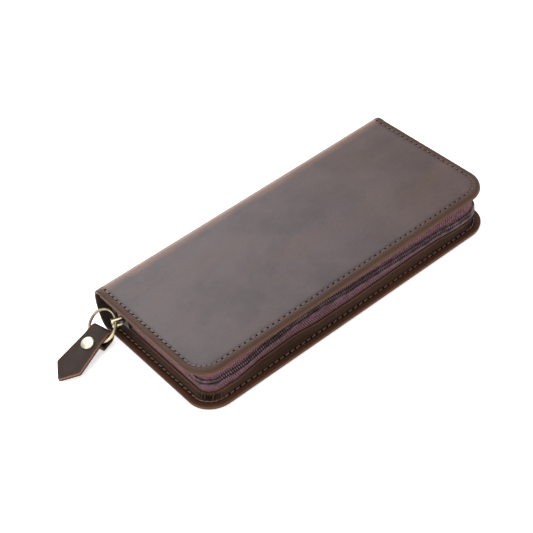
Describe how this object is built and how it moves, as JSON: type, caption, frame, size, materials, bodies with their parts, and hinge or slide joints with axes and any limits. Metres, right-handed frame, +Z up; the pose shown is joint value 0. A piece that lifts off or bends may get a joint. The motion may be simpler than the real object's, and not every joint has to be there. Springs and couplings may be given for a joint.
{
  "type": "zip-around case",
  "caption": "Flat leather case that zips round three sides and folds open flat along its spine, with a ring and leather pull tab on the zip slider.",
  "frame": {"origin": "middle of the cover's outer face that the closed case lies on, without the pull tab", "axes": "+X along the case towards the zip's closed start, -Y towards the zip's long side, +Y towards the spine, +Z up out of the lid"},
  "size_m": [0.2398, 0.093, 0.029],
  "materials": {
    "cover_leather": "waxed pull-up leather, satin",
    "strip_leather": "dark waxed leather, raw edge",
    "tab_leather": "dark waxed leather with raw tan edges",
    "zip_tape": "woven plum zip tape",
    "zip_coil": "nylon coil, slight gloss",
    "thread": "waxed thread",
    "lining": "woven twill lining",
    "slider_metal": "dark plated metal",
    "aged_brass": "aged antique brass"
  },
  "bodies": {
    "base": {"cover_bottom": "cover_leather", "gusset_strip_lower": "strip_leather", "zip_tape_lower": "zip_tape", "zip_coil_lower": "zip_coil", "seam_thread_lower": "thread", "lining_lower": "lining", "zip_bottom_stop": "aged_brass", "zip_top_stop": "aged_brass"},
    "spine": {"cover_spine": "cover_leather", "lining_spine": "lining"},
    "lid": {"cover_top": "cover_leather", "gusset_strip_upper": "strip_leather", "zip_tape_upper": "zip_tape", "zip_coil_upper": "zip_coil", "seam_thread_upper": "thread", "lining_upper": "lining", "slip_pocket": "strip_leather"},
    "slider": {"slider_body": "slider_metal", "slider_bail": "aged_brass"},
    "puller": {"puller_link": "aged_brass"},
    "ring": {"pull_ring": "aged_brass"},
    "tab": {"pull_tab": "tab_leather", "rivet_cap": "aged_brass", "rivet_post": "aged_brass"}
  },
  "joints": [
    {"name": "spine_fold", "type": "hinge", "parent": "base", "child": "spine", "pos_m": [0, 0.04521, 0.00129], "axis": [-1, 0, 0], "range_deg": [0, 90]},
    {"name": "lid_fold", "type": "hinge", "parent": "spine", "child": "lid", "pos_m": [0, 0.04521, 0.02771], "axis": [-1, 0, 0], "range_deg": [0, 90]},
    {"name": "slider_travel", "type": "slide", "parent": "base", "child": "slider", "axis": [0, -1, 0], "range_m": [0, 0.052]},
    {"name": "puller_swing", "type": "hinge", "parent": "slider", "child": "puller", "pos_m": [-0.09645, 0.0287, 0.0145], "axis": [0, 0, 1], "range_deg": [0, 45]},
    {"name": "ring_swing", "type": "hinge", "parent": "puller", "child": "ring", "pos_m": [-0.09936, 0.02976, 0.0145], "axis": [0.5573, 0.6833, 0.4716], "range_deg": [0, 60]},
    {"name": "tab_swing", "type": "hinge", "parent": "ring", "child": "tab", "pos_m": [-0.11127, 0.03436, 0.00547], "axis": [0.231, -0.9729, -0.0137], "range_deg": [-5, 40]}
  ],
  "couplings": [
    {"joint": "lid_fold", "follows": "spine_fold", "ratio": 1}
  ]
}
